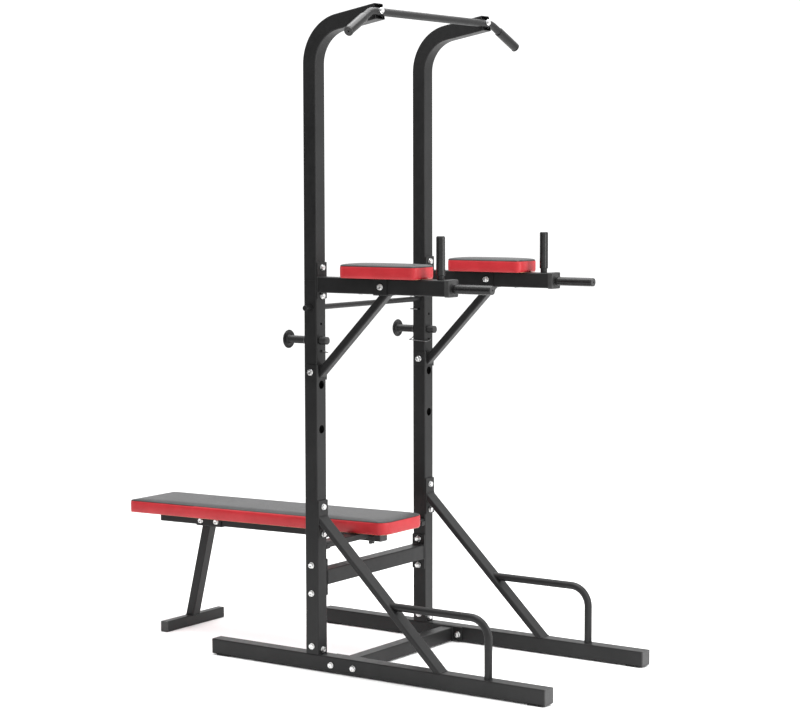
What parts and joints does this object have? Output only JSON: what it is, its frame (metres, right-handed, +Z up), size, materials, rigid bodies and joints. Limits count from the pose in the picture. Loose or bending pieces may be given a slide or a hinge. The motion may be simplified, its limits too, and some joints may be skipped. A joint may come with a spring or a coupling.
{
  "type": "power tower",
  "caption": "Free-standing pull-up and dip tower of square tube with padded dip arms, push-up handles, barbell catches and a flat bench behind.",
  "frame": {"origin": "on the floor, at the middle of the whole object's plan, bench included", "axes": "+Z up, X across the two uprights with the left upright at -X, -Y the front where the dip arms point, +Y the rear where the bench lies"},
  "size_m": [0.981, 1.845, 2.1201],
  "materials": {
    "frame_paint": "satin black powder coat with a fine orange-peel texture",
    "zinc_plate": "bright zinc plating on hex bolts, nuts and washers",
    "grip_rubber": "matte black rubber",
    "cap_plastic": "matte black moulded plastic",
    "pad_cover": "vinyl upholstery, red side panels and a black top panel with a fine grain",
    "board_wood": "bare plywood",
    "spring_wire": "blackened spring wire"
  },
  "bodies": {
    "frame": {"arm_pad_boards": "board_wood", "arm_pad_left": "pad_cover", "arm_pad_right": "pad_cover", "arm_pad_screws": "zinc_plate", "bar_seats": "frame_paint", "base_crossbar": "frame_paint", "base_end_caps": "cap_plastic", "base_foot_pads": "grip_rubber", "base_tube_left": "frame_paint", "base_tube_right": "frame_paint", "bench_cradles": "frame_paint", "brace_lower_brackets": "frame_paint", "brace_upper_brackets": "frame_paint", "crossbar_end_plates": "frame_paint", "dip_arm_end_caps": "cap_plastic", "dip_arm_inner_plates": "frame_paint", "dip_arm_left": "frame_paint", "dip_arm_plates": "frame_paint", "dip_arm_right": "frame_paint", "dip_handle_grips": "grip_rubber", "dip_handle_tubes": "frame_paint", "frame_bolts": "zinc_plate", "frame_nuts": "zinc_plate", "frame_washers": "zinc_plate", "front_brace_plates": "frame_paint", "front_braces": "frame_paint", "handle_end_plugs": "cap_plastic", "lower_crossbar": "frame_paint", "lower_upright_left": "frame_paint", "lower_upright_right": "frame_paint", "pull_up_bar": "frame_paint", "pull_up_end_plugs": "cap_plastic", "pull_up_grips": "grip_rubber", "push_up_handle_left": "frame_paint", "push_up_handle_right": "frame_paint", "support_braces": "frame_paint", "upper_post_left": "frame_paint", "upper_post_right": "frame_paint", "upright_joint_sleeves": "frame_paint", "upright_stubs": "frame_paint"},
    "catch_left": {"catch_rod_left": "frame_paint", "catch_plug_left": "cap_plastic"},
    "catch_right": {"catch_rod_right": "frame_paint", "catch_plug_right": "cap_plastic"},
    "catch_clip_left": {"catch_clip_left": "spring_wire"},
    "catch_clip_right": {"catch_clip_right": "spring_wire"},
    "cross_rod": {"cross_rod": "frame_paint"},
    "cross_rod_clip": {"cross_rod_clip": "spring_wire"},
    "bench": {"bench_board": "board_wood", "bench_bolts": "zinc_plate", "bench_cross_tube": "frame_paint", "bench_end_caps": "cap_plastic", "bench_foot_tube": "frame_paint", "bench_leg": "frame_paint", "bench_leg_bracket": "frame_paint", "bench_nuts_and_washers": "zinc_plate", "bench_pad": "pad_cover", "bench_pad_screws": "zinc_plate", "bench_rail": "frame_paint", "bench_spacer": "cap_plastic"}
  },
  "joints": [
    {"name": "catch_left_slide", "type": "slide", "parent": "frame", "child": "catch_left", "axis": [0, 1, 0], "range_m": [0, 0.12]},
    {"name": "catch_right_slide", "type": "slide", "parent": "frame", "child": "catch_right", "axis": [0, 1, 0], "range_m": [0, 0.12]},
    {"name": "catch_clip_left_unhook", "type": "slide", "parent": "frame", "child": "catch_clip_left", "axis": [0, -1, 0], "range_m": [0, 0.006], "stiffness_N_per_m": 200},
    {"name": "catch_clip_right_unhook", "type": "slide", "parent": "frame", "child": "catch_clip_right", "axis": [0, -1, 0], "range_m": [0, 0.006], "stiffness_N_per_m": 200},
    {"name": "cross_rod_slide", "type": "slide", "parent": "frame", "child": "cross_rod", "axis": [1, 0, 0], "range_m": [0, 0.64]},
    {"name": "cross_rod_clip_unhook", "type": "slide", "parent": "frame", "child": "cross_rod_clip", "axis": [-1, 0, 0], "range_m": [0, 0.006], "stiffness_N_per_m": 200},
    {"name": "bench_lift", "type": "slide", "parent": "frame", "child": "bench", "axis": [0, 0, 1], "range_m": [0, 0.06]}
  ]
}
